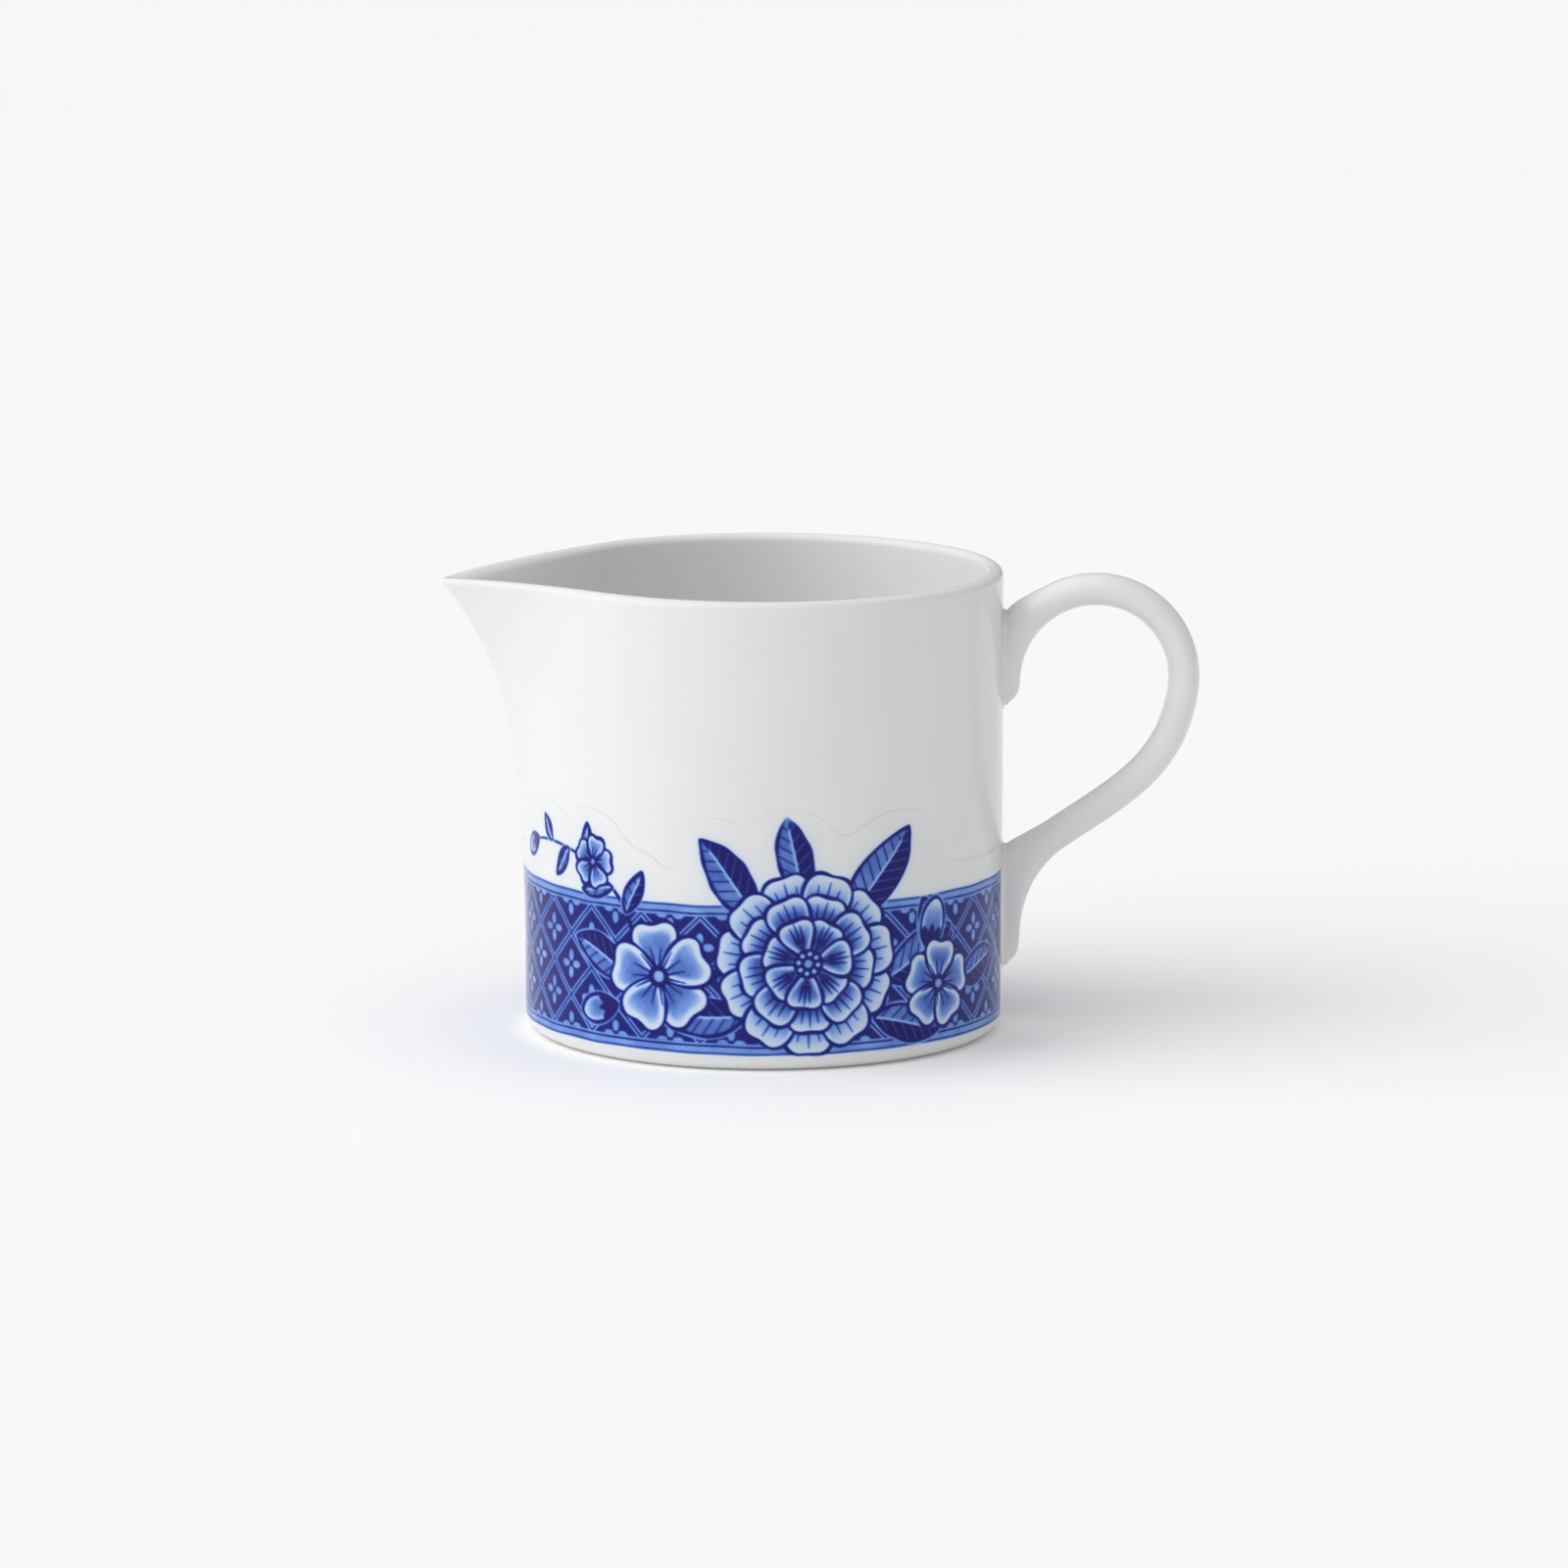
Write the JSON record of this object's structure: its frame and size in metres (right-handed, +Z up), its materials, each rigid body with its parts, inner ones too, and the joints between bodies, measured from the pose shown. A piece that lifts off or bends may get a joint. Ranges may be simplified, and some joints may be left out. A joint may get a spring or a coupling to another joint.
{
  "type": "cream jug",
  "caption": "Small straight-sided porcelain cream jug with a pulled pointed spout, a looped strap handle opposite it and a blue floral transfer print round its lower wall.",
  "frame": {"origin": "centre of the foot, on the table plane the jug stands on, on the axis of the round body", "axes": "+Z up along the body's axis, +X towards the handle, so the spout points along -X; the plane Y = 0 is the jug's plane of symmetry"},
  "size_m": [0.1198, 0.0762, 0.074],
  "materials": {
    "white_porcelain": "hard-paste porcelain under a clear gloss glaze",
    "joining_slip": "casting slip, sponged smooth and glazed with the body",
    "cobalt_transfer": "cobalt print fired under a gloss glaze"
  },
  "bodies": {
    "root": {"jug_body": "white_porcelain", "handle": "white_porcelain", "upper_slip_joint": "joining_slip", "lower_slip_joint": "joining_slip", "front_transfer": "cobalt_transfer", "back_transfer": "cobalt_transfer"}
  },
  "joints": []
}
